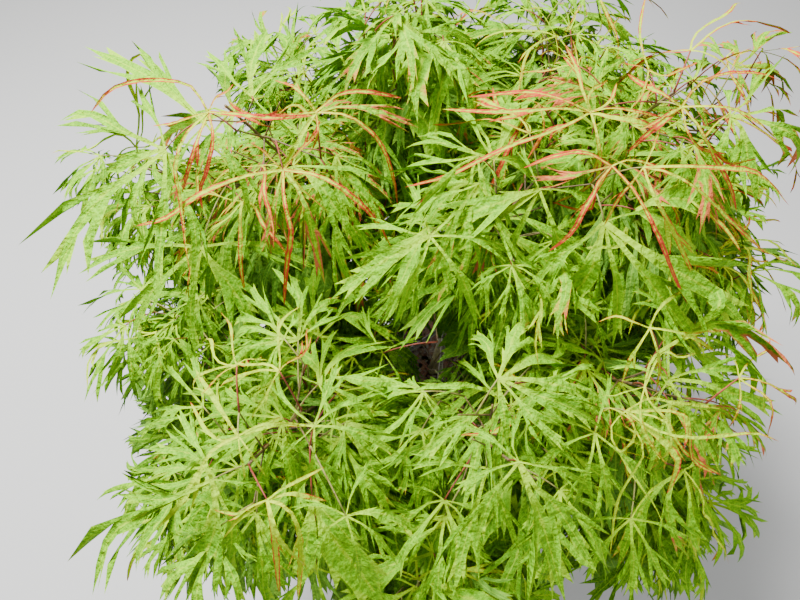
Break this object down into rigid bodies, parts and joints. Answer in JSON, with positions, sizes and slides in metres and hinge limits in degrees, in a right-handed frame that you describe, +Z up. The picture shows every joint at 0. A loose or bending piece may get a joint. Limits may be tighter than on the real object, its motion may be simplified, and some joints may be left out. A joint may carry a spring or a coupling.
{
  "type": "potted full moon maple",
  "caption": "Young cut-leaf full moon maple in a plain nursery pot: a slim leaning trunk, spreading boughs and open masses of long, narrow-lobed leaves.",
  "frame": {"origin": "middle of the pot's flat underside, which is also under the foot of the trunk", "axes": "+Z up; -Y is the front, the side that the plant leans to and is seen from; +X is the viewer's right"},
  "size_m": [0.9854, 1.0978, 1.1647],
  "materials": {
    "pot": "moulded dark plastic with a soft sheen and faint scuffs",
    "bark_mulch": "damp bark chips in dark potting mix",
    "bark": "smooth young olive-brown bark with pale pores and rings at the nodes",
    "leaf": "thin soft green leaves with pale midribs, young ones yellow-green with coral edges"
  },
  "bodies": {
    "root": {"pot": "pot", "potting_mix": "bark_mulch", "trunk": "bark", "bough_upper_left": "bark", "bough_top": "bark", "bough_upper_right": "bark", "bough_top_back": "bark", "bough_top_front": "bark", "bough_centre": "bark", "bough_left": "bark", "bough_far_left": "bark", "bough_front_left": "bark", "bough_low_left": "bark", "bough_front_right": "bark", "bough_low_right": "bark", "bough_right": "bark", "bough_far_right": "bark", "bough_low_front": "bark", "bough_back_left": "bark", "bough_low_back_left": "bark", "bough_back": "bark", "bough_back_right": "bark", "bough_low_back": "bark", "foliage_upper_left": "leaf", "foliage_top": "leaf", "foliage_upper_right": "leaf", "foliage_top_back": "leaf", "foliage_top_front": "leaf", "foliage_centre": "leaf", "foliage_left": "leaf", "foliage_far_left": "leaf", "foliage_front_left": "leaf", "foliage_low_left": "leaf", "foliage_front_right": "leaf", "foliage_low_right": "leaf", "foliage_right": "leaf", "foliage_far_right": "leaf", "foliage_low_front": "leaf", "foliage_back_left": "leaf", "foliage_low_back_left": "leaf", "foliage_back": "leaf", "foliage_back_right": "leaf", "foliage_low_back": "leaf"}
  },
  "joints": []
}
